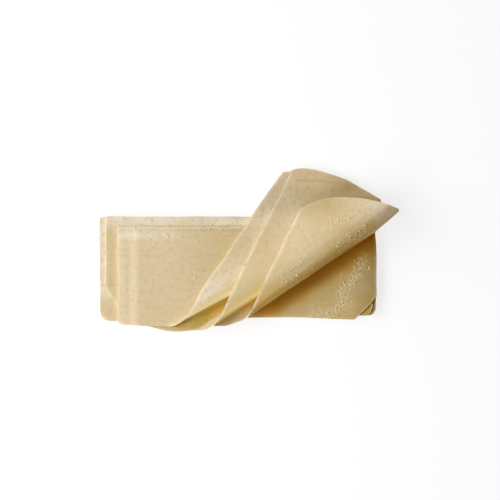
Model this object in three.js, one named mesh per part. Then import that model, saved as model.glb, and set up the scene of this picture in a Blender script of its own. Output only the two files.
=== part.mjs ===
// A pile of samosa wrappers: long thin strips of raw pastry lying flat on each other.
// The right ends of the top three are turned back to the upper left over loose rolls,
// so that their undersides show and their free corners hang over the far side of the pile.
// +X runs along the strips, +Y to the far side, +Z up; the pile rests on z = 0.
import * as THREE from "three";
import { mergeVertices } from "three/addons/utils/BufferGeometryUtils.js";

// Driving dimensions, in millimetres and degrees
const SHEET_LENGTH = 207;
const SHEET_WIDTH = 76;
const SHEET_THICKNESS = 0.7;
const LAYER_PITCH = 0.8; // one strip and the film of flour under it
const FLAP_PITCH = 1.2; // the turned-back ends lie a little looser
const FLAT_SHEETS = 9;
const CORNER_ROUNDING = 1.8;
const PASTRY_COLOUR = 0xdcc49a;
const PASTRY_ROUGHNESS = 0.75;
const LOWEST_SHADE = 0.94;
const SHADE_STEP = 0.005; // each strip is a little lighter than the one below

// The flat strips, from the table up: a loose pile, none quite in line with the next
const PILE_CENTRE = { x: -9, y: -12.9 };
const PILE_TURN = 0.55;
const PILE_DRIFT = { x: 1.1, y: 0.5, turn: 0.4 };
const DRIFT_RATE = { x: 2.4, y: 1.7 }; // radians from one layer to the next
const TOP_FLAT = { x: -5.95, y: -12.35, turn: -0.55, length: 205.7, width: 74.9 };

// The near corners of the flat strips are worn round, and those of the topmost are cut away.
// The near edges are cut out of square, and lift is how far inwards that brings a corner.
const WORN_LEFT = { along: 4, across: 5, roundness: 0.5, lift: -0.7 };
const WORN_RIGHT = { along: 4, across: 6, roundness: 0.6, lift: 0.7 };
const CUT_LEFT = { along: 15, across: 20.5, roundness: 0.15, lift: 2 };
const CUT_RIGHT = { along: 17, across: 17.5, roundness: 0.1, lift: -2 };
const CUT_RIGHT_END = { along: 3, across: 55, roundness: 0.5 };

// The turned-back strips, lowest first. The near edge of each starts up at foldStart,
// along a roll whose outline runs at foldAngle and opens by coneAngle from startRadius.
// The roll rises to rollHeight over ROLL_SPAN and leans outwards; the loose end behind it
// bulges by crown, settles by a share towards the far left, and hangs over the far side.
// bow lists how far the near edge strays from its line, at places along the strip,
// and farBow does so for the far edge, from the right.
const TURNED_SHEETS = [
  {
    name: "turned_wrapper_lower",
    side: { left: -83.5, right: 125.2, near: -54.6, far: 14.5 },
    corners: {
      nearRight: { along: 33, across: 60, roundness: 0.51, lift: 0.6 },
      farRight: { along: 2, across: 2, roundness: 0.7 },
    },
    bow: [
      { x: -40, out: 2.4 },
      { x: -26, out: 2.8 },
      { x: -18, out: 2.4 },
      { x: -8, out: -0.8 },
      { x: 2, out: -1.6 },
      { x: 30, out: -0.9 },
    ],
    farBow: [
      { x: 120, out: -1.1 },
      { x: 116, out: -2.4 },
      { x: 110.5, out: -4 },
      { x: 105.7, out: -5.4 },
      { x: 100, out: -6 },
      { x: 92, out: -4.4 },
      { x: 84, out: -2 },
      { x: 74, out: 0 },
    ],
    foldStart: { x: -1, y: -49.9 },
    foldAngle: 33.8,
    coneAngle: 3.5,
    startRadius: 3.3,
    rollHeight: { start: 11, end: 23 },
    lean: 0,
    flapTilt: 3,
    crown: { height: 3, run: 15 },
    settle: { share: 0.3, to: 46 },
    hang: 0.3,
  },
  {
    name: "turned_wrapper_middle",
    side: { left: -93, right: 119.5, near: -59.2, far: 12.8 },
    corners: {
      nearLeft: { along: 5, across: 4, roundness: 1, lift: 3.6 },
      nearRight: { along: 12.3, across: 40, roundness: 0.6, lift: -0.8 },
      farRight: { along: 2.2, across: 29, roundness: 0.12, lift: -2.2 },
    },
    bow: [
      { x: -76, out: -1.7 },
      { x: -67, out: 0.8 },
      { x: -56, out: 2.1 },
      { x: -42, out: 1.1 },
      { x: -29, out: -0.2 },
      { x: -14, out: -1 },
      { x: 10, out: -0.2 },
    ],
    farBow: [
      { x: 110, out: -1.6 },
      { x: 100, out: -0.9 },
      { x: 88, out: 0 },
    ],
    foldStart: { x: -28.2, y: -55.1 },
    foldAngle: 32.8,
    coneAngle: 1.5,
    startRadius: 3.4,
    rollHeight: { start: 6.5, end: 13 },
    lean: 0.45,
    flapTilt: 3,
    crown: { height: 1.2, run: 10 },
    settle: { share: 0.5, to: 34 },
    hang: 0.8,
  },
  {
    name: "turned_wrapper_top",
    side: { left: -100.2, right: 110.5, near: -57, far: 18.2 },
    corners: {
      nearLeft: { along: 6, across: 4, roundness: 0.9, lift: 0.6 },
      nearRight: { along: 23, across: 60, roundness: 0.36, lift: 0.3 },
    },
    bow: [
      { x: -75, out: 0.1 },
      { x: -60, out: 0.3 },
      { x: -49, out: -2.6 },
      { x: -20, out: -0.3 },
      { x: 5, out: -0.6 },
      { x: 31, out: -0.4 },
      { x: 79, out: 0.2 },
    ],
    foldStart: { x: -55.5, y: -54.3 },
    foldAngle: 28.55,
    coneAngle: 0.9,
    startRadius: 1.6,
    rollHeight: { start: 3.4, end: 8 },
    lean: 0.64,
    flapTilt: 3,
    crown: { height: 0.7, run: 6 },
    settle: { share: 0.8, to: 24 },
    hang: 0.9,
  },
];
const ROLL_SPAN = 150;
const HANG = { edge: 24, span: 27.5, from: -4, to: 26 }; // beyond the pile's far side, past the top roll

// Fineness of the turned strips
const STEPS_ALONG = 22;
const STEPS_FLAT = 10;
const STEPS_ROLL = 13;
const STEPS_FLAP = 14;
const CURVE_POINTS = 6;
const RAY_INSET = 0.004; // share of the strip's spread left off at its two pointed corners
const MERGE_DISTANCE = 0.0001;

const radians = THREE.MathUtils.degToRad;
const smooth = (value, from, to) => THREE.MathUtils.smoothstep(value, from, to);

function pastry(layer) {
  const shade = LOWEST_SHADE + SHADE_STEP * layer;
  const color = new THREE.Color(PASTRY_COLOUR).multiplyScalar(shade);
  return new THREE.MeshStandardMaterial({ color, roughness: PASTRY_ROUGHNESS, metalness: 0 });
}

// A corner: how far the cut runs along the length and across the width, and how round it is
const roundCorner = { along: CORNER_ROUNDING, across: CORNER_ROUNDING, roundness: 1 };

// The outline of one strip between its four sides, counter-clockwise from the near left
function stripOutline(side, corners, bow, farBow) {
  const shape = new THREE.Shape();
  const places = [
    { x: side.left, y: side.near, inX: 1, inY: 1, cut: corners.nearLeft, fromWidth: true },
    { x: side.right, y: side.near, inX: -1, inY: 1, cut: corners.nearRight, fromWidth: false },
    { x: side.right, y: side.far, inX: -1, inY: -1, cut: corners.farRight, fromWidth: true },
    { x: side.left, y: side.far, inX: 1, inY: -1, cut: corners.farLeft, fromWidth: false },
  ];
  places.forEach((place, index) => {
    const cut = place.cut ?? roundCorner;
    const corner = new THREE.Vector2(place.x, place.y + (cut.lift ?? 0));
    const onLength = new THREE.Vector2(corner.x + place.inX * cut.along, corner.y);
    const onWidth = new THREE.Vector2(corner.x, corner.y + place.inY * cut.across);
    const start = place.fromWidth ? onWidth : onLength;
    const end = place.fromWidth ? onLength : onWidth;
    const control = start.clone().lerp(end, 0.5).lerp(corner, cut.roundness);
    if (index === 0) {
      shape.moveTo(start.x, start.y);
    } else if (index === 1) {
      shape.splineThru([...bow.map(({ x, out }) => new THREE.Vector2(x, side.near - out)), start]);
    } else {
      if (index === 3 && farBow.length > 0) {
        shape.splineThru(farBow.map(({ x, out }) => new THREE.Vector2(x, side.far + out)));
      }
      shape.lineTo(start.x, start.y);
    }
    shape.quadraticCurveTo(control.x, control.y, end.x, end.y);
  });
  shape.closePath();
  return shape;
}

// One flat strip, its lower face at the height of its layer
function flatWrapper(layer, place, corners) {
  const length = place.length ?? SHEET_LENGTH;
  const width = place.width ?? SHEET_WIDTH;
  const side = { left: -length / 2, right: length / 2, near: -width / 2, far: width / 2 };
  const shape = stripOutline(side, corners, [], []);
  const geometry = new THREE.ExtrudeGeometry(shape, {
    depth: SHEET_THICKNESS,
    bevelEnabled: false,
    curveSegments: CURVE_POINTS,
  });
  const mesh = new THREE.Mesh(geometry, pastry(layer));
  mesh.name = `flat_wrapper_${layer + 1}`;
  mesh.position.set(place.x, place.y, layer * LAYER_PITCH);
  mesh.rotation.z = radians(place.turn);
  return mesh;
}

// The cone that a strip is turned back over: its point, its line of contact and its opening
function foldCone(sheet) {
  const opening = radians(sheet.coneAngle);
  const outline = radians(sheet.foldAngle);
  const reach = sheet.startRadius / Math.tan(opening);
  const apex = new THREE.Vector2(
    sheet.foldStart.x - reach * Math.cos(outline),
    sheet.foldStart.y - reach * Math.sin(outline),
  );
  const turn = Math.PI + radians(sheet.flapTilt);
  return { apex, opening, reach, contact: outline + opening, turn, rollSpan: turn * Math.sin(opening) };
}

// Direction from the cone's point, the way the roll leans and the upward side of the strip,
// some angle past the line of contact
function foldFrame(cone, past) {
  const ahead = new THREE.Vector3(Math.cos(cone.contact), Math.sin(cone.contact), 0);
  const aside = new THREE.Vector3(Math.sin(cone.contact), -Math.cos(cone.contact), 0);
  const up = new THREE.Vector3(0, 0, 1);
  const direction = new THREE.Vector3();
  const tangent = new THREE.Vector3();
  let turned = 0;
  if (past <= 0) {
    direction.addScaledVector(ahead, Math.cos(past)).addScaledVector(aside, Math.sin(past));
    tangent.addScaledVector(aside, Math.cos(past)).addScaledVector(ahead, -Math.sin(past));
  } else {
    const sin = Math.sin(cone.opening);
    const cos = Math.cos(cone.opening);
    turned = Math.min(past / sin, cone.turn);
    const axis = new THREE.Vector3().addScaledVector(ahead, cos).addScaledVector(up, sin);
    const lift = new THREE.Vector3().addScaledVector(ahead, -sin).addScaledVector(up, cos);
    direction.addScaledVector(axis, cos).addScaledVector(lift, -sin * Math.cos(turned));
    direction.addScaledVector(aside, sin * Math.sin(turned));
    tangent.addScaledVector(lift, Math.sin(turned)).addScaledVector(aside, Math.cos(turned));
    const beyond = Math.max(past - cone.rollSpan, 0);
    const rollEnd = direction.clone();
    direction.multiplyScalar(Math.cos(beyond)).addScaledVector(tangent, Math.sin(beyond));
    tangent.multiplyScalar(Math.cos(beyond)).addScaledVector(rollEnd, -Math.sin(beyond));
  }
  const upper = new THREE.Vector3().crossVectors(tangent, direction).normalize();
  return { direction, aside, upper, turned };
}

// Distance of a point from the outline of a strip's roll, towards the far left
function pastRoll(sheet, point) {
  const angle = radians(sheet.foldAngle);
  const dx = point.x - sheet.foldStart.x;
  const dy = point.y - sheet.foldStart.y;
  return dy * Math.cos(angle) - dx * Math.sin(angle);
}

// Height of a loose end that bulges behind its roll, settles on what lies below and hangs over
const topSheet = TURNED_SHEETS[TURNED_SHEETS.length - 1];
const topMiddle = (FLAT_SHEETS + TURNED_SHEETS.length - 1) * LAYER_PITCH + SHEET_THICKNESS / 2;
function settledHeight(point, sheet, order) {
  const above = TURNED_SHEETS.length - order;
  const rest = topMiddle + above * FLAP_PITCH;
  const table = SHEET_THICKNESS + (above - 1) * FLAP_PITCH;
  const behind = pastRoll(sheet, point);
  const { height, run } = sheet.crown;
  const crown = height * smooth(behind, 0, run) * (1 - smooth(behind, run, 3 * run));
  const away = pastRoll(topSheet, point);
  const settled = sheet.settle.share * smooth(away, 0, sheet.settle.to);
  const level = rest + (point.z - rest) * (1 - settled) + crown;
  const hanging = smooth(point.y, HANG.edge, HANG.edge + HANG.span) * smooth(away, HANG.from, HANG.to);
  return level - sheet.hang * hanging * (level - table);
}

// A place on the middle of a turned strip, at some distance from the cone's point
function foldedPoint(sheet, order, cone, frame, distance) {
  const middle = (FLAT_SHEETS + order) * LAYER_PITCH + SHEET_THICKNESS / 2;
  const along = THREE.MathUtils.clamp((distance - cone.reach) / ROLL_SPAN, 0, 1);
  const height = THREE.MathUtils.lerp(sheet.rollHeight.start, sheet.rollHeight.end, along);
  const point = new THREE.Vector3(cone.apex.x, cone.apex.y, 0).addScaledVector(frame.direction, distance);
  point.z *= height / (2 * distance * Math.tan(cone.opening));
  point.z += middle;
  point.addScaledVector(frame.aside, (sheet.lean * height * (1 - Math.cos(frame.turned))) / 2);
  if (frame.turned > Math.PI / 2) {
    point.z = settledHeight(point, sheet, order);
  }
  return point;
}

// The two places where a ray from the cone's point enters and leaves the outline
function rayCrossings(points, apex, angle) {
  const direction = new THREE.Vector2(Math.cos(angle), Math.sin(angle));
  const crossings = [];
  points.forEach((point, index) => {
    const start = point.clone().sub(apex);
    const end = points[(index + 1) % points.length].clone().sub(apex);
    const startSide = direction.cross(start);
    const endSide = direction.cross(end);
    if (startSide >= 0 !== endSide >= 0) {
      crossings.push(start.lerp(end, startSide / (startSide - endSide)).dot(direction));
    }
  });
  return [Math.min(...crossings), Math.max(...crossings)];
}

// Ray angles from the strip's near right corner to its left end, closest together on the roll
function rayAngles(points, cone) {
  const seen = points.map((point) => point.clone().sub(cone.apex).angle());
  const spread = Math.max(...seen) - Math.min(...seen);
  const first = Math.min(...seen) + RAY_INSET * spread;
  const last = Math.max(...seen) - RAY_INSET * spread;
  const rollEnd = cone.contact - cone.rollSpan;
  const stretches = [
    { from: first, to: rollEnd, steps: STEPS_FLAP },
    { from: rollEnd, to: cone.contact, steps: STEPS_ROLL },
    { from: cone.contact, to: last, steps: STEPS_FLAT },
  ];
  const angles = [first];
  for (const { from, to, steps } of stretches) {
    for (let step = 1; step <= steps; step += 1) {
      angles.push(from + ((to - from) * step) / steps);
    }
  }
  return angles;
}

// One turned-back strip: a fine slab whose rows lie along the straight lines of its roll
function turnedWrapper(sheet, order) {
  const shape = stripOutline(sheet.side, sheet.corners, sheet.bow, sheet.farBow ?? []);
  const outline = shape.getPoints(CURVE_POINTS * 2);
  const cone = foldCone(sheet);
  const angles = rayAngles(outline, cone);
  const rays = angles.map((angle) => ({
    crossings: rayCrossings(outline, cone.apex, angle),
    frame: foldFrame(cone, cone.contact - angle),
  }));
  const rayCount = rays.length - 1;
  const geometry = new THREE.BoxGeometry(1, 1, 1, STEPS_ALONG, rayCount, 1);
  geometry.deleteAttribute("normal");
  geometry.deleteAttribute("uv");
  const positions = geometry.attributes.position;
  for (let index = 0; index < positions.count; index += 1) {
    const along = positions.getX(index) + 0.5;
    const { crossings, frame } = rays[Math.round((positions.getY(index) + 0.5) * rayCount)];
    const side = Math.sign(positions.getZ(index));
    const distance = THREE.MathUtils.lerp(crossings[0], crossings[1], along);
    const point = foldedPoint(sheet, order, cone, frame, distance);
    point.addScaledVector(frame.upper, (side * SHEET_THICKNESS) / 2);
    positions.setXYZ(index, point.x, point.y, point.z);
  }
  const mesh = new THREE.Mesh(mergeVertices(geometry, MERGE_DISTANCE), pastry(FLAT_SHEETS + order));
  mesh.name = sheet.name;
  return mesh;
}

// A worn corner, a little different from layer to layer
function wornCorner(corner, layer) {
  return { ...corner, along: corner.along + (layer % 3), across: corner.across + (layer % 2) };
}

// The pile: the flat strips drift a little from layer to layer under the three turned back
const pile = new THREE.Group();
for (let layer = 0; layer < FLAT_SHEETS - 1; layer += 1) {
  const place = {
    x: PILE_CENTRE.x + PILE_DRIFT.x * Math.sin(DRIFT_RATE.x * layer),
    y: PILE_CENTRE.y + PILE_DRIFT.y * Math.cos(DRIFT_RATE.y * layer),
    turn: PILE_TURN - PILE_DRIFT.turn * Math.cos(DRIFT_RATE.y * layer),
  };
  const corners = { nearLeft: wornCorner(WORN_LEFT, layer), nearRight: wornCorner(WORN_RIGHT, layer) };
  pile.add(flatWrapper(layer, place, corners));
}
const topCorners = { nearLeft: CUT_LEFT, nearRight: CUT_RIGHT, farRight: CUT_RIGHT_END };
pile.add(flatWrapper(FLAT_SHEETS - 1, TOP_FLAT, topCorners));
TURNED_SHEETS.forEach((sheet, order) => pile.add(turnedWrapper(sheet, order)));

// The origin is under the middle of the pile's box, on the table
const stack = new THREE.Group();
stack.add(pile);
stack.updateMatrixWorld(true);
const box = new THREE.Box3().setFromObject(stack, true);
const middleOfBox = box.getCenter(new THREE.Vector3());
pile.position.set(-middleOfBox.x, -middleOfBox.y, -box.min.z);

export default stack;
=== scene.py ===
# A pile of samosa wrappers: thin strips of raw pastry, the upper three turned back, dusted with flour.
import math

import bpy
import numpy as np
from mathutils import Matrix, Vector
from mathutils.bvhtree import BVHTree


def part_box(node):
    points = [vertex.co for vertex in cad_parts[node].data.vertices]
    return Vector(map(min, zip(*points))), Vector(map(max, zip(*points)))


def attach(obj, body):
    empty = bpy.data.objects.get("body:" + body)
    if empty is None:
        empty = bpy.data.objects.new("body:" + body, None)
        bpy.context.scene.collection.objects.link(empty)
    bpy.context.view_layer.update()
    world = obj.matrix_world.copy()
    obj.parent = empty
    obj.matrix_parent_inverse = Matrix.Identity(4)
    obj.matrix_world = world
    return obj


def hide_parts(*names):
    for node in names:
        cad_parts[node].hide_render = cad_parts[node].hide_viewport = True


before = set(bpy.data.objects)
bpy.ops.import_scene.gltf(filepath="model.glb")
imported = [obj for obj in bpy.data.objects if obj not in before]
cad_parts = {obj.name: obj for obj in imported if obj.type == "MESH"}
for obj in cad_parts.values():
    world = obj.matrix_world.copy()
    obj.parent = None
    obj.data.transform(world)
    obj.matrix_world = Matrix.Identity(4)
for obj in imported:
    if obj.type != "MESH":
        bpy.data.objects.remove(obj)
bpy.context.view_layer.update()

# The scene is in metres; the sizes of the pastry below are in millimetres and degrees
MM = 0.001
THICKNESS = 0.7
LAYER_PITCH = 0.8
FLAP_PITCH = 1.2
FLAT_STRIPS = 9
TOP_LAYER = FLAT_STRIPS - 1

# The flat strips: how each lies turned in the pile, and how its corners are worn or cut
LOWER_FLAT = {"length": 207, "width": 76, "turn": 0.55, "askew": -0.7}
TURN_DRIFT = 0.4
DRIFT_RATE = 1.7
ROUND_CORNER = {"along": 1.8, "across": 1.8, "roundness": 1}
WORN_CORNERS = {
    "near_left": {"along": 4, "across": 5, "roundness": 0.5},
    "near_right": {"along": 4, "across": 6, "roundness": 0.6},
}
WEAR_CYCLE = {"along": 3, "across": 2}  # a millimetre more wear on each strip, until it starts over
TOP_FLAT = {"length": 205.7, "width": 74.9, "turn": -0.55, "askew": 2}
TOP_FLAT_PLACE = (-5.95, -12.35)
TOP_CUTS = {
    "near_left": {"along": 15, "across": 20.5, "roundness": 0.15},
    "near_right": {"along": 17, "across": 17.5, "roundness": 0.1},
    "far_right": {"along": 3, "across": 55, "roundness": 0.5},
}

# The turned-back strips, lowest first, before they are folded. near_edge and far_edge list how far
# an edge strays outwards from its line, at places along the strip. roll_light is how light colours
# the strip's own roll, and light_below how it colours the strip under that roll.
TURNED_STRIPS = [
    {
        "name": "turned_wrapper_lower",
        "side": {"left": -83.5, "right": 125.2, "near": -54.6, "far": 14.5},
        "corners": {
            "near_right": {"along": 33, "across": 60, "roundness": 0.51},
            "far_right": {"along": 2, "across": 2, "roundness": 0.7},
        },
        "near_edge": [
            (-79.5, 0), (-40, 2.4), (-26, 2.8), (-18, 2.4),
            (-8, -0.8), (2, -1.6), (30, -0.9), (90.3, -0.6),
        ],
        "far_edge": [
            (60, 0), (74, 0), (84, -2), (92, -4.4), (100, -6),
            (105.7, -5.4), (110.5, -4), (116, -2.4), (120, -1.1), (123.2, 0),
        ],
        "fold_start": (-1, -49.9),
        "fold_angle": 33.8,
        "cone_angle": 3.5,
        "start_radius": 3.3,
        "roll_height": (11, 23),
        "lean": 0,
        "flap_tilt": 3,
        "crown": {"height": 3, "run": 15},
        "settle": {"share": 0.3, "to": 46},
        "hang": 0.3,
        "roll_light": {"gold": 0.1, "amber": 0.6, "run": 16, "glow": 0.4},
        "light_below": {
            "amber_start": (-6, 16),
            "amber_run": 25,
            "glow": 0,
            "shade": 0.6,
            "shade_start": (8, 26),
        },
    },
    {
        "name": "turned_wrapper_middle",
        "side": {"left": -93, "right": 119.5, "near": -59.2, "far": 12.8},
        "corners": {
            "near_left": {"along": 5, "across": 4, "roundness": 1},
            "near_right": {"along": 12.3, "across": 40, "roundness": 0.6},
            "far_right": {"along": 2.2, "across": 29, "roundness": 0.12},
        },
        "near_edge": [
            (-88, -3.6), (-76, -1.7), (-67, 0.8), (-56, 2.1), (-42, 1.1),
            (-29, -0.2), (-14, -1), (10, -0.2), (107.6, 0.8),
        ],
        "far_edge": [(-88, 0), (76, 0), (88, 0), (100, -0.9), (110, -1.6), (117.3, -2.2)],
        "fold_start": (-28.2, -55.1),
        "fold_angle": 32.8,
        "cone_angle": 1.5,
        "start_radius": 3.4,
        "roll_height": (6.5, 13),
        "lean": 0.45,
        "flap_tilt": 3,
        "crown": {"height": 1.2, "run": 10},
        "settle": {"share": 0.5, "to": 34},
        "hang": 0.8,
        "roll_light": {"gold": 0.55, "amber": 0, "run": 11, "glow": 0.3},
        "light_below": {
            "amber_start": (8, 28),
            "amber_run": 7,
            "glow": 0.6,
            "shade": 0.12,
            "shade_start": (2, 12),
        },
    },
    {
        "name": "turned_wrapper_top",
        "side": {"left": -100.2, "right": 110.5, "near": -57, "far": 18.2},
        "corners": {
            "near_left": {"along": 6, "across": 4, "roundness": 0.9},
            "near_right": {"along": 23, "across": 60, "roundness": 0.36},
        },
        "near_edge": [
            (-94.2, -0.6), (-75, 0.1), (-60, 0.3), (-49, -2.6), (-20, -0.3),
            (5, -0.6), (31, -0.4), (79, 0.2), (87.5, -0.3),
        ],
        "far_edge": [(-94.2, 0), (87.5, 0)],
        "fold_start": (-55.5, -54.3),
        "fold_angle": 28.55,
        "cone_angle": 0.9,
        "start_radius": 1.6,
        "roll_height": (3.4, 8),
        "lean": 0.64,
        "flap_tilt": 3,
        "crown": {"height": 0.7, "run": 6},
        "settle": {"share": 0.8, "to": 24},
        "hang": 0.9,
        "roll_light": {"gold": 0.5, "amber": 0, "run": 8, "glow": 0.4},
        "light_below": {
            "amber_start": (18, 32),
            "amber_run": 20,
            "glow": 1,
            "shade": 0,
            "shade_start": (2, 12),
        },
    },
]
ROLL_SPAN = 150
CROWN_END = 3  # where a crown has gone down again, in runs of its rise
HANG = {"edge": 24, "span": 27.5, "from": -4, "to": 26}
STRIPS = FLAT_STRIPS + len(TURNED_STRIPS)
TOP_STRIP_HEIGHT = (STRIPS - 1) * LAYER_PITCH + THICKNESS / 2

# Small give of the soft pastry: it sags over the edges under it and is nowhere quite flat
SAG_RUN = 9
SAG_CORNER = 5
SAG_STEEPER = 2  # at the far side, against the left end
SAG_LEFT = (1, 0.5)
SAG_BEFORE_ROLL = (2, 14)
NEAR_DROOP = {"from": -50, "span": 9, "depth": 0.2}
WAVES = {"count": 7, "stretch": (0.6, 1.5)}
PILE_WAVE = {"length": 75, "height": 0.5}
FLAP_WAVE = {"length": 46, "height": 0.5}
EDGE_WAVE = {"length": 34, "height": 0.45}
SEEDS = {"pile": 11, "flaps": 23, "flat_edges": 50, "turned_edges": 80, "turned_maps": 20, "flour": 31}
SEEDS_PER_STRIP = 2

# How finely the strips are made
FINE_CELL = 0.95
COARSE_CELL = 2.2
CORNER_CHORDS = 7
MERGE_GAP = 0.03
TRIM_GAP = 0.003
CRISP_ANGLE = 45
MAP_UNIT = 100  # millimetres of pastry to one unit of the strip's own map
MAP_SPREAD = 9

# How far a strip has turned round its roll, in radians, where one look gives way to the next
STILL_FLAT = 0.3
RIDING_TURN = (0, 1.2)
CURL_TURN = (0.05, 0.5)
GLOW_TURN = (0.2, 0.8)
ROLL_TURN = (0.6, 1.8)
OVER_TURN = (1.2, 2.4)
RIM_TURN = (1.5, 2.6)

# Tones of the dough, from 0 for pale to 1.5 for ochre, and how much painted shade lies on it: where it
# lies in the shadow of a strip above, and on loose ends that hang away from the light. flat goes by the
# places along the pile; loose, and the painted shade of a turned strip, by the places along its roll.
TONE_PLACES = (-104, -60, -20, 95)
LOOSE_PLACES = (15, 65, 98, 122, 148)
TONES = {
    "pile": {"flat": (0, 0.1, 0.2, 0.6), "near": 0.75, "dull": 0.3},
    # the ochre towards the right end is partly painted shade, in the shadow of the lowest roll
    "top_flat": {"flat": (0.75, 0.75, 0.45, 1.05), "near": 0.2, "dull": 0.7},
    "turned_wrapper_lower": {
        "flat": (0.6, 0.6, 0.6, 0.6),
        "flat_dull": 0,
        "loose": (1, 0.55, 0.9, 0.22, 0.35),
        "dull": (0, 0, 0, 0, 0),
    },
    "turned_wrapper_middle": {
        # the ochre about -20 along the pile is partly painted shade, under the top strip's roll
        "flat": (1, 1, 1.5, 1),
        "flat_dull": 0.2,
        "loose": (0.6, 0.8, 0.3, 0.5, 0.8),
        "dull": (0, 0, 0, 0, 0.45),
    },
    "turned_wrapper_top": {
        "flat": (0.36, 0.44, 0.85, 1.05),
        "flat_dull": 0,
        "loose": (0, 0.5, 0.25, 0.3, 0.3),
        "dull": (0, 0, 0.05, 0.42, 0.2),
    },
}
FAR_PALE = (12, 23)
NEAR_GOLD = (25, 50)
# Painted shade on the flat strips: at the right end, in the shadow of the lowest roll, and at the left
# end, beside the left edge of the top turned strip
RIGHT_SHADE = (72, 97)
LEFT_END_SHADE = 0.12
LEFT_END = (-107, -97)
CURL_TONE = 0.6
TURNED_NEAR = 0.12
# Paler far margin of a turned strip's flat part: painted light that offsets the shade where it sags over
# the edges under it
TURNED_FAR = {"tone": 0.3, "far": (4, 13), "left": (-70, -20)}
# Painted shade along the crease where the middle strip's hanging end bends
CREASE_SHADE = {
    "on": "turned_wrapper_middle",
    "line": [(36.7, 53.2), (53, 52.8), (70, 50.9)],
    "width": 0.8,
    "depth": 0.5,
}

# Colour where light comes through the rolls, and the shade under them
ROLL_FADE = {"share": 0.6, "along": (105, 130)}
GLOW_RUN = (0.5, 3.5)
GLOW_START = (4, 26)
GLOW_END = (45, 75)
AMBER_SHADE_BEHIND = (2, 12)
UNDER_ROLL = {"from": (-1, 5), "to": (7, 14), "right": (65, 100), "right_loss": 0.5}
UNDER_GLOW_START = (5, 15)
UNDER_GLOW_RUN = (1, 5.5)

# Pale edges: dry pastry, and a painted highlight where the edges catch the light
RIM_RUN = (0.3, 2.6)
FLAT_RIM = 0.25
TOP_RIM = {"share": 0.65, "far": (4, 2), "left": 4}
SHORT_END_RIM = {"loss": 0.85, "before": 6, "after": 4}

# Colours
BLACK = (0, 0, 0, 1)
WHITE = (1, 1, 1, 1)
PALE = (0.85, 0.755, 0.59, 1)
CREAM = (0.745, 0.605, 0.395, 1)
GOLDEN = (0.68, 0.52, 0.285, 1)
OCHRE = (0.58, 0.41, 0.13, 1)
# Grey that multiplies the dough where shade is painted
SHADE_GREY = (0.65, 0.65, 0.65, 1)
PINKISH = (0.77, 0.59, 0.41, 1)
# Painted shadow: the deep amber of the shade under the rolls and on the lowest roll
AMBER_SHADE = (0.73, 0.435, 0.14, 1)
AMBER_SHADE_MOST = 0.82
# Painted light: gold where light comes through a roll
LIT_GOLD = (0.76, 0.56, 0.19, 1)
# Painted glow where light comes through a roll, on its edge and on the strip under it
GLOW = (0.97, 0.74, 0.36, 1)
# Pale edges: dry pastry, and a painted highlight where the edges catch the light
DRY_EDGE_AND_HIGHLIGHT = (0.95, 0.82, 0.57, 1)
FLOUR_WHITE = (0.88, 0.80, 0.64, 1)
BROWN_SPECK = (0.50, 0.36, 0.19, 1)
FLOUR_GRAIN = (0.79, 0.64, 0.40, 1)
FLOUR_FILM = (0.82, 0.68, 0.45, 1)
FLOOR_GREY = (0.28, 0.28, 0.28, 1)
TONE_STEPS = [(CREAM, 0, 0.5), (GOLDEN, 0.5, 1), (OCHRE, 1, 1.5)]

# Patterns in the dough, in the order they are laid on. range is where a pattern starts and is full.
DOUGH_PATTERNS = {
    "clouds": {"colour": PINKISH, "most": 0.35, "range": (0.42, 0.68), "scale": 7, "detail": 3},
    "blotches": {"colour": GOLDEN, "most": 0.55, "range": (0.45, 0.7), "scale": 26, "detail": 4},
    "creases": {"colour": BROWN_SPECK, "most": 0.28, "range": (0.58, 0.7), "scale": 24, "detail": 4},
    "streaks": {"colour": FLOUR_WHITE, "most": 0.4, "range": (0.6, 0.72), "scale": 70, "detail": 3},
    "specks": {"colour": FLOUR_WHITE, "most": 0.4, "range": (0.62, 0.72), "scale": 120, "detail": 2},
    "flecks": {"colour": BROWN_SPECK, "most": 0.17, "range": (0.64, 0.74), "scale": 80, "detail": 3},
}
PLAIN = (1, 1, 1)
STRETCHED = {"creases": (0.8, 1.1, 1), "streaks": (0.22, 1.5, 1), "flecks": (0.8, 1, 1)}
FILM_PATTERN = {"scale": 48, "detail": 4, "range": (0.42, 0.6), "share": (0.1, 0.85)}
EDGE_PATTERN = {"scale": 22, "detail": 3, "range": (0.36, 0.62), "share": (0.45, 1)}
SHEEN_PATTERN = {"scale": 40, "detail": 3, "range": (0.3, 0.7), "share": (0.52, 0.7)}
GRAIN_PATTERN = {"scale": 90, "detail": 4}
GRAIN_BUMP = {"Strength": 0.25, "Distance": 0.0002}
PASTRY_BODY = {
    "Specular IOR Level": 0.35,
    "Subsurface Weight": 0.2,
    "Subsurface Radius": (1.0, 0.55, 0.2),
    "Subsurface Scale": 0.001,
}
MATT = {"Roughness": 0.9, "Specular IOR Level": 0.1}

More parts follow.
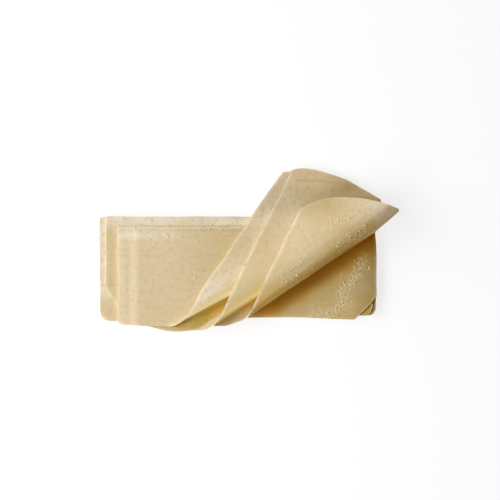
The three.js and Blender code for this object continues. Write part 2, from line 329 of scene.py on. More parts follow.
# Loose flour: patches along lines on the strips, how far each spreads and how many grains it has
GRAIN = {
    "smallest": 0.3,
    "largest": 1,
    "form": (0.7, 1.3),
    "flatness": 0.25,
    "sunk": 0.3,
    "roughness": 0.2,
    "most_rough": 0.4,
}
CLUMP = {"share": 0.75, "spread": 1.2}
FLOUR_PATCHES = {
    "turned_wrapper_lower": [
        {"line": [(69, 4), (88, 15)], "spread": 3, "grains": 100, "film": 0.7},
        {"line": [(57, 17), (66, 20), (73, 25)], "spread": 2.6, "grains": 50, "film": 0.5},
        {"line": [(80, 31), (84, 27)], "spread": 3, "grains": 10, "film": 0.2},
        {"line": [(25.4, -23.3), (54.9, -5.9)], "spread": 4, "grains": 60, "film": 0.3},
    ],
    "flat_wrapper_9": [
        {
            "line": [(86, -6), (82.2, -17), (75.5, -26), (69.5, -33), (72, -40), (62, -47), (47, -49)],
            "spread": 2.8,
            "grains": 260,
            "film": 0.95,
        },
        # flour along the far edge of the top turned strip, which also paints light into the shade under
        # that edge
        {"line": [(-102, 19.4), (-4, 19.2)], "spread": 1.2, "grains": 40, "film": 0.9},
    ],
    "turned_wrapper_middle": [
        {"line": [(-12.5, -10.5), (-4.2, -14.2)], "spread": 3, "grains": 14, "film": 0.4},
    ],
    "turned_wrapper_top": [
        # flour along the far edge, which also paints light over the shade where the strip sags
        {"line": [(-91, 17.4), (-60, 16.8), (-20, 16)], "spread": 3.2, "grains": 50, "film": 0.9},
        {"line": [(-80, -20), (-50, -5), (-30, 4)], "spread": 16, "grains": 30, "film": 0.15},
    ],
}

# Camera, light and floor
UP = Vector((0, 0, 1))
FRAME_WIDTH = 378.8
CAMERA_DISTANCE = 3000
PICTURE_CENTRE = np.array([0.384, 0.42, 0])
SENSOR = 36
CONTRAST = [(0.05, 0.006), (0.11, 0.045), (0.2, 0.145), (0.35, 0.325), (0.6, 0.6)]
ALL_COLOURS = 3  # the curve after those of red, green and blue
SKY_STRENGTH = 0.03
FLOOR_SIZE = 8
FLOOR_LIGHT = 0.78


def smooth(value, start, end):
    """From 0 at start to 1 at end, level at both."""
    share = np.clip((value - start) / (end - start), 0, 1)
    return share * share * (3 - 2 * share)


def bell(away):
    """1 at no distance, fading out with distance counted in spreads."""
    return np.exp(-0.5 * away**2)


def soft_waves(x, y, length, seed):
    """A gentle rise and fall about zero, some length from crest to crest."""
    draw = np.random.default_rng(seed)
    total = np.zeros(len(x))
    for _ in range(WAVES["count"]):
        turn, phase = draw.uniform(0, 2 * math.pi, 2)
        stretch = draw.uniform(*WAVES["stretch"])
        along = x * math.cos(turn) + y * math.sin(turn)
        total += np.sin(2 * math.pi * along * stretch / length + phase)
    return total / WAVES["count"]


def corner_curve(corner, inward, cut):
    """Points along a worn corner, from the long side of the strip to its short side."""
    corner = np.array(corner, float)
    on_length = corner + (inward[0] * cut["along"], 0)
    on_width = corner + (0, inward[1] * cut["across"])
    middle = (on_length + on_width) / 2
    control = middle + (corner - middle) * cut["roundness"]
    share = np.linspace(0, 1, CORNER_CHORDS + 1)[:, None]
    return (1 - share) ** 2 * on_length + 2 * share * (1 - share) * control + share**2 * on_width


def corner_curves(side, corners):
    """The four corners of a strip, each as its place and the curve that trims it."""
    places = {
        "near_left": ((side["left"], side["near"]), (1, 1)),
        "near_right": ((side["right"], side["near"]), (-1, 1)),
        "far_right": ((side["right"], side["far"]), (-1, -1)),
        "far_left": ((side["left"], side["far"]), (1, -1)),
    }
    return [
        (np.array(place), corner_curve(place, inward, corners.get(name, ROUND_CORNER)))
        for name, (place, inward) in places.items()
    ]


def strip_outline(side, corners):
    """The points of a flat strip's outline, all the way round."""
    curves = [curve for _, curve in corner_curves(side, corners)]
    return np.concatenate([curves[0][::-1], curves[1], curves[2][::-1], curves[3]])


def sides_about_middle(size):
    """The four sides of a flat strip, counted from its middle."""
    return {
        "left": -size["length"] / 2,
        "right": size["length"] / 2,
        "near": -size["width"] / 2,
        "far": size["width"] / 2,
    }


def lie_askew(flat, size):
    """Places of a flat strip's points about its middle: its near edge askew, the strip turned."""
    x = flat[:, 0]
    nearness = 0.5 - flat[:, 1] / size["width"]
    y = flat[:, 1] - size["askew"] * x / size["length"] * 2 * nearness
    turn = math.radians(size["turn"])
    along = x * math.cos(turn) - y * math.sin(turn)
    across = x * math.sin(turn) + y * math.cos(turn)
    return np.column_stack([along, across])


def middle_in_frame(name, size, corners):
    """Where the middle of a flat strip lies, so that it fills the box of its node."""
    low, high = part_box(name)
    outline = lie_askew(strip_outline(sides_about_middle(size), corners), size)
    own = (outline.min(axis=0) + outline.max(axis=0)) / 2
    return np.array((low + high) / 2 / MM) - (own[0], own[1], 0)


# The origin of the sizes above, in the frame
SHIFT = middle_in_frame("flat_wrapper_9", TOP_FLAT, TOP_CUTS) * (1, 1, 0) - (*TOP_FLAT_PLACE, 0)


def cut_blank(name, side, corners, cell):
    """A flat strip in small squares, with its corners trimmed and its thickness given."""
    length = side["right"] - side["left"]
    width = side["far"] - side["near"]
    middle = ((side["left"] + side["right"]) / 2 * MM, (side["near"] + side["far"]) / 2 * MM, 0)
    bpy.ops.object.select_all(action="DESELECT")
    bpy.ops.mesh.primitive_grid_add(
        x_subdivisions=round(length / cell), y_subdivisions=round(width / cell), size=1, location=middle
    )
    strip = bpy.context.object
    strip.name = name
    strip.scale = (length * MM, width * MM, 1)
    bpy.ops.object.transform_apply(location=True, rotation=True, scale=True)
    bpy.ops.object.mode_set(mode="EDIT")
    for corner, curve in corner_curves(side, corners):
        for start, end in zip(curve[:-1], curve[1:]):
            outward = np.array([end[1] - start[1], start[0] - end[0]])
            outward /= np.linalg.norm(outward)
            if outward @ (corner - start) < 0:
                outward = -outward
            bpy.ops.mesh.select_all(action="SELECT")
            bpy.ops.mesh.bisect(
                plane_co=(start[0] * MM, start[1] * MM, 0),
                plane_no=(outward[0], outward[1], 0),
                clear_outer=True,
                threshold=TRIM_GAP * MM,
            )
    bpy.ops.mesh.select_all(action="SELECT")
    bpy.ops.mesh.remove_doubles(threshold=MERGE_GAP * MM)
    bpy.ops.object.mode_set(mode="OBJECT")
    wall = strip.modifiers.new("thickness", "SOLIDIFY")
    wall.thickness = THICKNESS * MM
    wall.offset = 0
    bpy.ops.object.modifier_apply(modifier=wall.name)
    return strip


def read_points(strip):
    """The strip's points in millimetres."""
    points = np.empty(len(strip.data.vertices) * 3)
    strip.data.vertices.foreach_get("co", points)
    return points.reshape(-1, 3) / MM


def move_points(strip, points):
    """Put the strip's points at places given in millimetres."""
    strip.data.vertices.foreach_set("co", (points * MM).ravel())
    strip.data.update()


def distance_to_line(points, line):
    """How far each point lies from a line of straight stretches, seen from above."""
    nearest = np.full(len(points), np.inf)
    for start, end in zip(line[:-1], line[1:]):
        along = end - start
        share = np.clip((points[:, :2] - start) @ along / (along @ along), 0, 1)
        away = points[:, :2] - start - share[:, None] * along
        nearest = np.minimum(nearest, np.linalg.norm(away, axis=1))
    return nearest


def distance_to_edge(flat, side, corners):
    """How far each point of a flat strip lies inside its outline."""
    outline = strip_outline(side, corners)
    return distance_to_line(flat, np.concatenate([outline, outline[:1]]))


def note_surface(strip, flat, seed, **values):
    """Store what the pastry's finish reads: the strip's own map, and values for each point."""
    mesh = strip.data
    while mesh.uv_layers:
        mesh.uv_layers.remove(mesh.uv_layers[0])
    corner_points = np.empty(len(mesh.loops), int)
    mesh.loops.foreach_get("vertex_index", corner_points)
    offset = np.random.default_rng(seed).uniform(0, MAP_SPREAD, 2)
    places = flat[corner_points, :2] / MAP_UNIT + offset
    own_map = mesh.uv_layers.new(name="strip")
    own_map.uv.foreach_set("vector", places.astype(np.float32).ravel())
    for name, value in values.items():
        attribute = mesh.attributes.new(name, "FLOAT", "POINT")
        attribute.data.foreach_set("value", value.astype(np.float32))


def finish_strip(strip, material):
    """Smooth faces, crisp cut edges, and the finish."""
    bpy.ops.object.select_all(action="DESELECT")
    strip.select_set(True)
    bpy.context.view_layer.objects.active = strip
    bpy.ops.object.shade_smooth_by_angle(angle=math.radians(CRISP_ANGLE))
    strip.data.materials.clear()
    strip.data.materials.append(material)
    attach(strip, "root")
    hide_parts(strip["stands_for"])


def pile_wave(points, layer):
    """The pile is nowhere quite flat; the higher a strip lies, the more."""
    share = layer / STRIPS
    wave = soft_waves(points[:, 0], points[:, 1], PILE_WAVE["length"], SEEDS["pile"])
    return PILE_WAVE["height"] * share * wave


def stray_edges(flat, side, seed):
    """Hand-cut edges: each strip is drawn a little out of true in its own plane."""
    across = (flat[:, 1] - side["near"]) / (side["far"] - side["near"])
    along = (flat[:, 0] - side["left"]) / (side["right"] - side["left"])
    for axis in (0, 1):
        wave = soft_waves(flat[:, 0], flat[:, 1], EDGE_WAVE["length"], seed + axis)
        to_edge = 2 * np.abs((across if axis else along) - 0.5)
        flat[:, axis] += EDGE_WAVE["height"] * wave * to_edge


def flat_cut(layer):
    """Size and corners of a flat strip: the topmost is cut, the lower ones are worn."""
    if layer == TOP_LAYER:
        return TOP_FLAT, TOP_CUTS
    turn = LOWER_FLAT["turn"] - TURN_DRIFT * math.cos(DRIFT_RATE * layer)
    wear = {way: layer % cycle for way, cycle in WEAR_CYCLE.items()}
    corners = {
        place: dict(cut, along=cut["along"] + wear["along"], across=cut["across"] + wear["across"])
        for place, cut in WORN_CORNERS.items()
    }
    return dict(LOWER_FLAT, turn=turn), corners


def flat_tones(layer, points):
    """Tone and painted shade of a flat strip at its points: shade at its right end in the shadow of the
    lowest roll, and at its left end beside the top turned strip.
    """
    tones = TONES["top_flat" if layer == TOP_LAYER else "pile"]
    x, y, _ = points.T
    tone = np.interp(x, TONE_PLACES, tones["flat"]) * (1 - smooth(y, *FAR_PALE))
    tone += tones["near"] * smooth(-y, *NEAR_GOLD)
    dull = tones["dull"] * smooth(x, *RIGHT_SHADE) + LEFT_END_SHADE * (1 - smooth(x, *LEFT_END))
    return tone, dull


def flat_strip(layer, material):
    """One strip of the flat pile, where its node lies."""
    name = f"flat_wrapper_{layer + 1}"
    size, corners = flat_cut(layer)
    side = sides_about_middle(size)
    strip = cut_blank(f"pastry_{name}", side, corners, FINE_CELL if layer == TOP_LAYER else COARSE_CELL)
    strip["stands_for"] = name
    flat = read_points(strip)
    own_map = flat.copy()
    inset = distance_to_edge(flat, side, corners)
    stray_edges(flat, side, SEEDS["flat_edges"] + SEEDS_PER_STRIP * layer)
    points = np.column_stack([lie_askew(flat, size), flat[:, 2]]) + middle_in_frame(name, size, corners)
    places = points - SHIFT
    lowest_roll = TURNED_STRIPS[0]
    tone, dull = flat_tones(layer, places)
    note_surface(
        strip, own_map, layer,
        rim=FLAT_RIM * (1 - smooth(inset, *RIM_RUN)),
        tone=tone,
        # painted amber shadow and grey shade under the lowest roll
        amber=amber_under(lowest_roll, places),
        dull=np.maximum(dull, shade_under(lowest_roll, places)),
        flour=flour_film(name, places),
    )
    points[:, 2] += pile_wave(points, layer)
    move_points(strip, points)
    finish_strip(strip, material)
    return strip


def fold_cone(strip):
    """The cone a strip is turned back over: its point, opening, line of contact and full turn."""
    opening = math.radians(strip["cone_angle"])
    outline = math.radians(strip["fold_angle"])
    reach = strip["start_radius"] / math.tan(opening)
    apex = np.array(strip["fold_start"]) - reach * np.array([math.cos(outline), math.sin(outline)])
    return apex, opening, outline + opening, math.pi + math.radians(strip["flap_tilt"])


def past_roll(strip, points):
    """Distance of points from the outline of a strip's roll, towards the far left."""
    angle = math.radians(strip["fold_angle"])
    x, y = (points[:, :2] - np.array(strip["fold_start"])).T
    return y * math.cos(angle) - x * math.sin(angle)


def along_roll(strip, points):
    """Distance of points along a strip's roll, from where its near edge starts up."""
    angle = math.radians(strip["fold_angle"])
    return (points[:, :2] - np.array(strip["fold_start"])) @ (math.cos(angle), math.sin(angle))


def settled_height(points, order):
    """Height of a loose end: it bulges behind its roll, settles, and hangs over the far side."""
    strip = TURNED_STRIPS[order]
    above = len(TURNED_STRIPS) - order
    rest = TOP_STRIP_HEIGHT + above * FLAP_PITCH
    table = THICKNESS + (above - 1) * FLAP_PITCH
    x, y, z = points.T
    own_roll = past_roll(strip, points)
    run = strip["crown"]["run"]
    fallen = smooth(own_roll, run, CROWN_END * run)
    crown = strip["crown"]["height"] * smooth(own_roll, 0, run) * (1 - fallen)
    away = past_roll(TURNED_STRIPS[-1], points)
    settled = strip["settle"]["share"] * smooth(away, 0, strip["settle"]["to"])
    level = rest + (z - rest) * (1 - settled) + crown
    hanging = smooth(y, HANG["edge"], HANG["edge"] + HANG["span"]) * smooth(away, HANG["from"], HANG["to"])
    waves = FLAP_WAVE["height"] * soft_waves(x, y, FLAP_WAVE["length"], SEEDS["flaps"])
    return level - strip["hang"] * hanging * (level - table) + waves * smooth(away, 0, HANG["to"])


def sag_over_edges(x, y, order):
    """How far a strip sinks where it reaches beyond the turned strips that lie under it."""
    sag = np.zeros(len(x))
    for lower, left_share in zip(TURNED_STRIPS[:order], SAG_LEFT):
        beyond_left = lower["side"]["left"] + SAG_CORNER - x
        beyond_far = (y - lower["side"]["far"]) * SAG_STEEPER + SAG_CORNER
        both = np.hypot(np.maximum(beyond_left, 0), np.maximum(beyond_far, 0))
        outside = np.maximum(both, np.maximum(beyond_left, beyond_far)) - SAG_CORNER
        share = left_share + (1 - left_share) * smooth(beyond_far, 0, SAG_CORNER)
        sag += share * LAYER_PITCH * smooth(outside, 0, SAG_RUN)
    return sag


def roll_back(flat, order):
    """Turn the right end of a flat strip back over its cone. Heights in flat count from its middle."""
    strip = TURNED_STRIPS[order]
    apex, opening, contact, turn = fold_cone(strip)
    offset = flat[:, :2] - apex
    distance = np.hypot(*offset.T)[:, None]
    past = contact - np.arctan2(offset[:, 1], offset[:, 0])
    on_roll = np.clip(past, 0, turn * math.sin(opening))
    bend = (past - on_roll)[:, None]
    turned = (on_roll / math.sin(opening))[:, None]

    ahead = np.array([math.cos(contact), math.sin(contact), 0])
    aside = np.array([math.sin(contact), -math.cos(contact), 0])
    up = np.array(UP)
    axis = ahead * math.cos(opening) + up * math.sin(opening)
    lift = up * math.cos(opening) - ahead * math.sin(opening)
    ray = axis * math.cos(opening) + math.sin(opening) * (aside * np.sin(turned) - lift * np.cos(turned))
    tangent = lift * np.sin(turned) + aside * np.cos(turned)
    direction = ray * np.cos(bend) + tangent * np.sin(bend)
    tangent = tangent * np.cos(bend) - ray * np.sin(bend)
    upper = np.cross(tangent, direction)

    layer = FLAT_STRIPS + order
    middle = layer * LAYER_PITCH + THICKNESS / 2
    share_of_roll = (distance[:, 0] - strip["start_radius"] / math.tan(opening)) / ROLL_SPAN
    low, high = strip["roll_height"]
    height = low + (high - low) * np.clip(share_of_roll, 0, 1)
    points = direction * distance + (apex[0], apex[1], 0)
    points[:, 2] *= height / (2 * distance[:, 0] * math.tan(opening))
    points[:, 2] += middle
    leaning = strip["lean"] * height * (1 - np.cos(turned[:, 0])) / 2
    points += leaning[:, None] * aside
    loose = turned[:, 0] > math.pi / 2
    points[loose, 2] = settled_height(points[loose], order)

    before_roll = smooth(-bend[:, 0] * distance[:, 0], *SAG_BEFORE_ROLL) * (turned[:, 0] == 0)
    points[:, 2] -= before_roll * sag_over_edges(points[:, 0], points[:, 1], order)
    droop = np.maximum(NEAR_DROOP["from"] - points[:, 1], 0) / NEAR_DROOP["span"]
    points[:, 2] -= NEAR_DROOP["depth"] * droop**2
    points[:, 2] += (1 - smooth(turned[:, 0], *RIDING_TURN)) * pile_wave(points + SHIFT, layer)
    return points + upper * flat[:, 2:], turned[:, 0]


def edge_stray(x, edge):
    """How far an edge strays outwards at x, on a smooth curve through its places."""
    places, strays = np.array(edge, float).T
    slopes = np.gradient(strays, places)
    index = np.clip(np.searchsorted(places, x) - 1, 0, len(places) - 2)
    span = places[index + 1] - places[index]
    share = np.clip((x - places[index]) / span, 0, 1)
    from_start = strays[index] * (1 + 2 * share) * (1 - share) ** 2
    from_end = strays[index + 1] * (3 - 2 * share) * share**2
    bend = slopes[index] * (1 - share) - slopes[index + 1] * share
    return from_start + from_end + span * share * (1 - share) * bend


def bow_edges(flat, size):
    """Draw the near and far edges of a strip out and in, as it was cut."""
    side = size["side"]
    nearness = np.clip((side["far"] - flat[:, 1]) / (side["far"] - side["near"]), 0, 1)
    far_stray = edge_stray(flat[:, 0], size["far_edge"]) * (1 - nearness) ** 2
    flat[:, 1] += far_stray - edge_stray(flat[:, 0], size["near_edge"]) * nearness**2


def amber_under(roll, points):
    """Painted amber shadow where a strip lies close under the roll of the next one up."""
    light = roll["light_below"]
    past = past_roll(roll, points)
    in_front = 1 - smooth(-past, 0, light["amber_run"])
    behind = 1 - smooth(past, *AMBER_SHADE_BEHIND)
    return in_front * behind * smooth(along_roll(roll, points), *light["amber_start"])


def shade_under(roll, points):
    """Where the shadow under a roll is deepest: a little way out from it, more so to the left."""
    light = roll["light_below"]
    out = -past_roll(roll, points)
    along = along_roll(roll, points)
    depth = light["shade"] * smooth(along, *light["shade_start"])
    depth *= 1 - UNDER_ROLL["right_loss"] * smooth(along, *UNDER_ROLL["right"])
    return depth * smooth(out, *UNDER_ROLL["from"]) * (1 - smooth(out, *UNDER_ROLL["to"]))


def glow_under(roll, points):
    """Where light that comes through a roll falls on the strip close under it."""
    close = 1 - smooth(np.abs(past_roll(roll, points)), *UNDER_GLOW_RUN)
    lit = roll["light_below"]["glow"] * smooth(along_roll(roll, points), *UNDER_GLOW_START)
    return close * lit


def light_on_roll(strip, points, turned):
    """Painted light and shade on a strip's own roll: gold and glow where light comes through it, and amber
    shade.
    """
    light = strip["roll_light"]
    behind = past_roll(strip, points)
    along = along_roll(strip, points)
    on_roll = smooth(turned, *ROLL_TURN) * (1 - smooth(behind, 0, light["run"]))
    on_roll *= 1 - ROLL_FADE["share"] * smooth(along, *ROLL_FADE["along"])
    glow = light["glow"] * smooth(turned, *GLOW_TURN) * (1 - smooth(behind, *GLOW_RUN))
    glow *= smooth(along, *GLOW_START) * (1 - smooth(along, *GLOW_END))
    return light["gold"] * on_roll, light["amber"] * on_roll, glow


def turned_tones(strip, points, turned):
    """Tone and painted shade of a turned strip; the loose end has tones and painted shade of its own along
    its roll.
    """
    x, y, _ = points.T
    along = along_roll(strip, points)
    tones = TONES[strip["name"]]
    flat_part = np.interp(x, TONE_PLACES, tones["flat"])
    flat_part += TURNED_NEAR * smooth(-y, *NEAR_GOLD)
    # paler far margin: painted light over the shade of the sag
    flat_part -= TURNED_FAR["tone"] * smooth(y, *TURNED_FAR["far"]) * (1 - smooth(x, *TURNED_FAR["left"]))
    flat_part += (CURL_TONE - flat_part) * smooth(turned, *CURL_TURN)
    loose = np.interp(along, LOOSE_PLACES, tones["loose"])
    over = smooth(turned, *OVER_TURN)
    dull = tones["flat_dull"] * (1 - over) + np.interp(along, LOOSE_PLACES, tones["dull"]) * over
    # painted shade along the crease
    if strip["name"] == CREASE_SHADE["on"]:
        away = distance_to_line(points, np.array(CREASE_SHADE["line"], float)) / CREASE_SHADE["width"]
        dull = np.maximum(dull, CREASE_SHADE["depth"] * bell(away) * (turned > OVER_TURN[0]))
    return flat_part + (loose - flat_part) * over, dull


def turned_rim(strip, own_map, inset, turned):
    """How pale a turned strip is along its edges, most of all on its loose end: dry pastry and painted
    highlight.
    """
    side = strip["side"]
    short_end = side["right"] - strip["corners"]["near_right"]["along"]
    at_end = smooth(own_map[:, 0], short_end - SHORT_END_RIM["before"], short_end + SHORT_END_RIM["after"])
    loose_rim = 1 - SHORT_END_RIM["loss"] * at_end
    rim = FLAT_RIM + (loose_rim - FLAT_RIM) * smooth(turned, *RIM_TURN)
    start, full = TOP_RIM["far"]
    at_far = smooth(own_map[:, 1], side["far"] - start, side["far"] - full)
    at_left = own_map[:, 0] < side["left"] + TOP_RIM["left"]
    rim = np.maximum(rim, TOP_RIM["share"] * np.maximum(at_far, at_left) * (turned < STILL_FLAT))
    return rim * (1 - smooth(inset, *RIM_RUN))


def turned_strip(order, material):
    """One strip with its right end turned back."""
    size = TURNED_STRIPS[order]
    side = size["side"]
    strip = cut_blank(f"pastry_{size['name']}", side, size["corners"], FINE_CELL)
    strip["stands_for"] = size["name"]
    flat = read_points(strip)
    own_map = flat.copy()
    inset = distance_to_edge(flat, side, size["corners"])
    stray_edges(flat, side, SEEDS["turned_edges"] + SEEDS_PER_STRIP * order)
    bow_edges(flat, size)
    points, turned = roll_back(flat, order)
    tone, dull = turned_tones(size, points, turned)
    gold, amber, glow = light_on_roll(size, points, turned)
    # Painted amber shadow, glow and grey shade where the strip lies under the roll of the next one up
    if order + 1 < len(TURNED_STRIPS):
        upper = TURNED_STRIPS[order + 1]
        still_flat = turned < STILL_FLAT
        amber = np.maximum(amber, amber_under(upper, points) * still_flat)
        glow = np.maximum(glow, glow_under(upper, points) * still_flat)
        dull = np.maximum(dull, shade_under(upper, points) * still_flat)
    rim = turned_rim(size, own_map, inset, turned)
    film = flour_film(size["name"], points)
    note_surface(
        strip, own_map, SEEDS["turned_maps"] + order,
        rim=rim, tone=tone, amber=amber, gold=gold, glow=glow, dull=dull, flour=film,
    )
    move_points(strip, points + SHIFT)
    finish_strip(strip, material)
    return strip


def add_node(tree, kind, settings=None, **values):
    """A node with its settings and the values of its input sockets."""
    node = tree.nodes.new(kind)
    for name, value in (settings or {}).items():
        setattr(node, name, value)
    for name, value in values.items():
        node.inputs[name.replace("_", " ")].default_value = value
    return node


def mix_colour(tree, share, first, second, blend="MIX"):
    """A colour between two, by a share from another node. Returns its output socket."""
    node = add_node(tree, "ShaderNodeMix", {"data_type": "RGBA", "blend_type": blend})
    colours = [socket for socket in node.inputs if socket.type == "RGBA"]
    for socket, value in zip([node.inputs["Factor"], *colours], (share, first, second)):
        if isinstance(value, bpy.types.NodeSocket):
            tree.links.new(value, socket)
        else:
            socket.default_value = value
    return next(socket for socket in node.outputs if socket.type == "RGBA")


def mapped(tree, value, low, high, to_low=0, to_high=1):
    """The value brought from one range to another and held there. Returns its output socket."""
    node = add_node(tree, "ShaderNodeMapRange", {"interpolation_type": "SMOOTHSTEP"})
    node.inputs["From Min"].default_value = low
    node.inputs["From Max"].default_value = high
    node.inputs["To Min"].default_value = to_low
    node.inputs["To Max"].default_value = to_high
    tree.links.new(value, node.inputs["Value"])
    return node.outputs["Result"]


def pattern(tree, place, scale, detail, stretch=PLAIN):
    """A cloudy pattern on the strip's own map. Returns its output socket."""
    stretched = add_node(tree, "ShaderNodeMapping", Scale=stretch)
    tree.links.new(place, stretched.inputs["Vector"])
    noise = add_node(tree, "ShaderNodeTexNoise", Scale=scale, Detail=detail)
    tree.links.new(stretched.outputs["Vector"], noise.inputs["Vector"])
    return noise.outputs["Fac"]


def uneven(tree, place, look):
    """A share that goes up and down with a pattern. Returns its output socket."""
    cloudy = pattern(tree, place, look["scale"], look["detail"])
    return mapped(tree, cloudy, *look["range"], *look["share"])


def raw_pastry():
    """Rolled raw dough: cream with golden and pinkish clouds, fine specks, pale edges of dry pastry and
    painted highlight, and painted light and shade about the rolls.
    """
    material = bpy.data.materials.new("raw_pastry")
    material.use_nodes = True
    tree = material.node_tree
    shader = tree.nodes["Principled BSDF"]
    place = add_node(tree, "ShaderNodeUVMap", {"uv_map": "strip"}).outputs["UV"]
    noted = {
        name: add_node(tree, "ShaderNodeAttribute", {"attribute_name": name}).outputs["Fac"]
        for name in ("rim", "tone", "amber", "gold", "glow", "dull", "flour")
    }

    colour = PALE
    for tint, start, end in TONE_STEPS:
        colour = mix_colour(tree, mapped(tree, noted["tone"], start, end), colour, tint)
    for name, look in DOUGH_PATTERNS.items():
        cloudy = pattern(tree, place, look["scale"], look["detail"], STRETCHED.get(name, PLAIN))
        share = mapped(tree, cloudy, *look["range"], 0, look["most"])
        colour = mix_colour(tree, share, colour, look["colour"])
    # Painted light and shade: gold through the rolls, amber shadow, glow, then grey shade
    colour = mix_colour(tree, noted["gold"], colour, LIT_GOLD)
    colour = mix_colour(tree, mapped(tree, noted["amber"], 0, 1, 0, AMBER_SHADE_MOST), colour, AMBER_SHADE)
    colour = mix_colour(tree, noted["glow"], colour, GLOW)
    colour = mix_colour(tree, noted["dull"], colour, SHADE_GREY, "MULTIPLY")
    dusted = mix_colour(tree, noted["flour"], BLACK, uneven(tree, place, FILM_PATTERN))
    colour = mix_colour(tree, dusted, colour, FLOUR_FILM)
    # pale edges: dry pastry and painted highlight
    dried_and_lit = mix_colour(tree, noted["rim"], BLACK, uneven(tree, place, EDGE_PATTERN))
    colour = mix_colour(tree, dried_and_lit, colour, DRY_EDGE_AND_HIGHLIGHT)
    tree.links.new(colour, shader.inputs["Base Color"])

    tree.links.new(uneven(tree, place, SHEEN_PATTERN), shader.inputs["Roughness"])
    grain = add_node(tree, "ShaderNodeBump", **GRAIN_BUMP)
    tree.links.new(pattern(tree, place, **GRAIN_PATTERN), grain.inputs["Height"])
    tree.links.new(grain.outputs["Normal"], shader.inputs["Normal"])
    for name, value in PASTRY_BODY.items():
        shader.inputs[name].default_value = value
    return material


def matt_finish(name, colour):
    """A plain dry finish, and its shader."""
    material = bpy.data.materials.new(name)
    material.use_nodes = True
    shader = material.node_tree.nodes["Principled BSDF"]
    shader.inputs["Base Color"].default_value = colour
    for socket, value in MATT.items():
        shader.inputs[socket].default_value = value
    return material, shader


def flour_film(name, points):
    """How thickly flour is rubbed into a strip about its patches."""
    film = np.zeros(len(points))
    for patch in FLOUR_PATCHES.get(name, []):
        away = distance_to_line(points, np.array(patch["line"], float)) / patch["spread"]
        film = np.maximum(film, patch["film"] * bell(away))
    return film


def flour_grain():
    """Points and faces of one grain before it is made rough, a ball of unit radius."""
    bpy.ops.object.select_all(action="DESELECT")
    bpy.ops.mesh.primitive_ico_sphere_add(subdivisions=1, radius=MM)
    grain = bpy.context.object
    points = read_points(grain)
    faces = np.array([face.vertices[:] for face in grain.data.polygons])
    bpy.ops.object.delete()
    return points, faces


def scatter_places(patch, draw):
    """Places of a patch's grains along its line, some of them gathered in clumps."""
    line = np.array(patch["line"], float)
    reach = np.concatenate([[0], np.cumsum(np.hypot(*np.diff(line, axis=0).T))])
    count = patch["grains"]
    along = draw.uniform(0, reach[-1], count)
    places = np.column_stack([np.interp(along, reach, line[:, axis]) for axis in (0, 1)])
    places += draw.normal(0, patch["spread"], (count, 2))
    clumped = draw.random(count) < CLUMP["share"]
    hearts = places[draw.integers(0, count, count)]
    places[clumped] = hearts[clumped] + draw.normal(0, CLUMP["spread"], (clumped.sum(), 2))
    return places


def lay_grain(ball, surface, x, y, draw):
    """The points of one rough grain, sunk a little into a strip, or None beside the strip."""
    place, normal, _, _ = surface.ray_cast(Vector((x, y, CAMERA_DISTANCE)) * MM, -UP)
    size = draw.uniform(GRAIN["smallest"], GRAIN["largest"])
    form = draw.uniform(*GRAIN["form"], 3) * (1, 1, GRAIN["flatness"])
    bumps = draw.normal(0, GRAIN["roughness"], (len(ball), 1))
    bumps = 1 + bumps.clip(-GRAIN["most_rough"], GRAIN["most_rough"])
    if place is None:
        return None
    lean = UP.rotation_difference(normal).to_matrix()
    turn = lean @ Matrix.Rotation(draw.uniform(0, 2 * math.pi), 3, "Z")
    grain = (ball * bumps * form * size) @ np.array(turn).T
    lift = size * GRAIN["flatness"] * (1 - 2 * GRAIN["sunk"])
    return (grain + np.array(normal) * lift) * MM + np.array(place)


def lay_flour(strips):
    """All the loose flour as one piece, each grain on the strip it fell on."""
    draw = np.random.default_rng(SEEDS["flour"])
    ball, ball_faces = flour_grain()
    graph = bpy.context.evaluated_depsgraph_get()
    grains = []
    for name, patches in FLOUR_PATCHES.items():
        surface = BVHTree.FromObject(strips[name], graph)
        for patch in patches:
            places = scatter_places(patch, draw) + SHIFT[:2]
            grains += [lay_grain(ball, surface, x, y, draw) for x, y in places]
    points = [grain for grain in grains if grain is not None]
    faces = [ball_faces + number * len(ball) for number in range(len(points))]
    mesh = bpy.data.meshes.new("loose_flour")
    mesh.from_pydata(np.concatenate(points), [], np.concatenate(faces))
    dust, _ = matt_finish("flour_dust", FLOUR_GRAIN)
    mesh.materials.append(dust)
    flour = bpy.data.objects.new("loose_flour", mesh)
    bpy.context.scene.collection.objects.link(flour)
    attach(flour, "root")


def lay_floor():
    """The plain pale floor, which gives off some light of its own."""
    bpy.ops.object.select_all(action="DESELECT")
    bpy.ops.mesh.primitive_plane_add(size=FLOOR_SIZE, location=(0, 0, 0))
    floor = bpy.context.object
    floor.name = "floor"
    material, shader = matt_finish("floor_white", FLOOR_GREY)
    shader.inputs["Emission Color"].default_value = WHITE
    shader.inputs["Emission Strength"].default_value = FLOOR_LIGHT
    floor.data.materials.append(material)


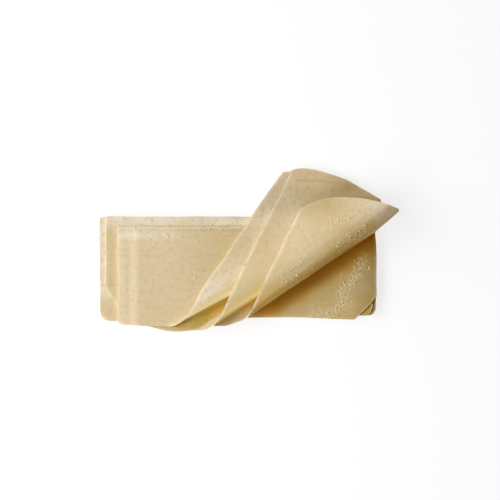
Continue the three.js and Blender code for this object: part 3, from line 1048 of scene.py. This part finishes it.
def add_light(name, azimuth, elevation, distance, size, power):
    """A square soft light that faces the pile; azimuth counts from +X round by +Y."""
    level = math.cos(math.radians(elevation))
    turn = math.radians(azimuth)
    direction = (level * math.cos(turn), level * math.sin(turn), math.sin(math.radians(elevation)))
    light = bpy.data.lights.new(name, "AREA")
    light.size = size
    light.energy = power
    lamp = bpy.data.objects.new(name, light)
    lamp.location = Vector(direction).normalized() * distance
    lamp.rotation_euler = lamp.location.to_track_quat("Z", "Y").to_euler()
    bpy.context.scene.collection.objects.link(lamp)


def light_studio():
    """A large window on the left, a fill at the near left, and a print with firmer shadows."""
    add_light("window", azimuth=170, elevation=31, distance=1.3, size=1.1, power=20.5)
    add_light("side_fill", azimuth=225, elevation=42, distance=1.3, size=0.9, power=8.4)
    world = bpy.data.worlds.new("studio")
    world.use_nodes = True
    sky = world.node_tree.nodes["Background"]
    sky.inputs["Color"].default_value = WHITE
    sky.inputs["Strength"].default_value = SKY_STRENGTH
    bpy.context.scene.world = world
    bpy.context.scene.view_settings.view_transform = "Standard"
    bpy.context.scene.view_settings.use_curve_mapping = True
    mapping = bpy.context.scene.view_settings.curve_mapping
    for shown, printed in CONTRAST:
        mapping.curves[ALL_COLOURS].points.new(shown, printed)
    mapping.update()


def set_camera():
    """Straight above the pile, far enough off for the folds to show at their true places."""
    camera = bpy.data.cameras.new("camera")
    camera.sensor_width = SENSOR
    camera.lens = SENSOR * CAMERA_DISTANCE / FRAME_WIDTH
    viewer = bpy.data.objects.new("camera", camera)
    pile_top = STRIPS * LAYER_PITCH
    viewer.location = Vector(PICTURE_CENTRE + SHIFT + (0, 0, CAMERA_DISTANCE + pile_top)) * MM
    bpy.context.scene.collection.objects.link(viewer)
    bpy.context.scene.camera = viewer


set_camera()
light_studio()
lay_floor()
pastry = raw_pastry()
strips = [flat_strip(layer, pastry) for layer in range(FLAT_STRIPS)]
strips += [turned_strip(order, pastry) for order in range(len(TURNED_STRIPS))]
lay_flour({strip["stands_for"]: strip for strip in strips})
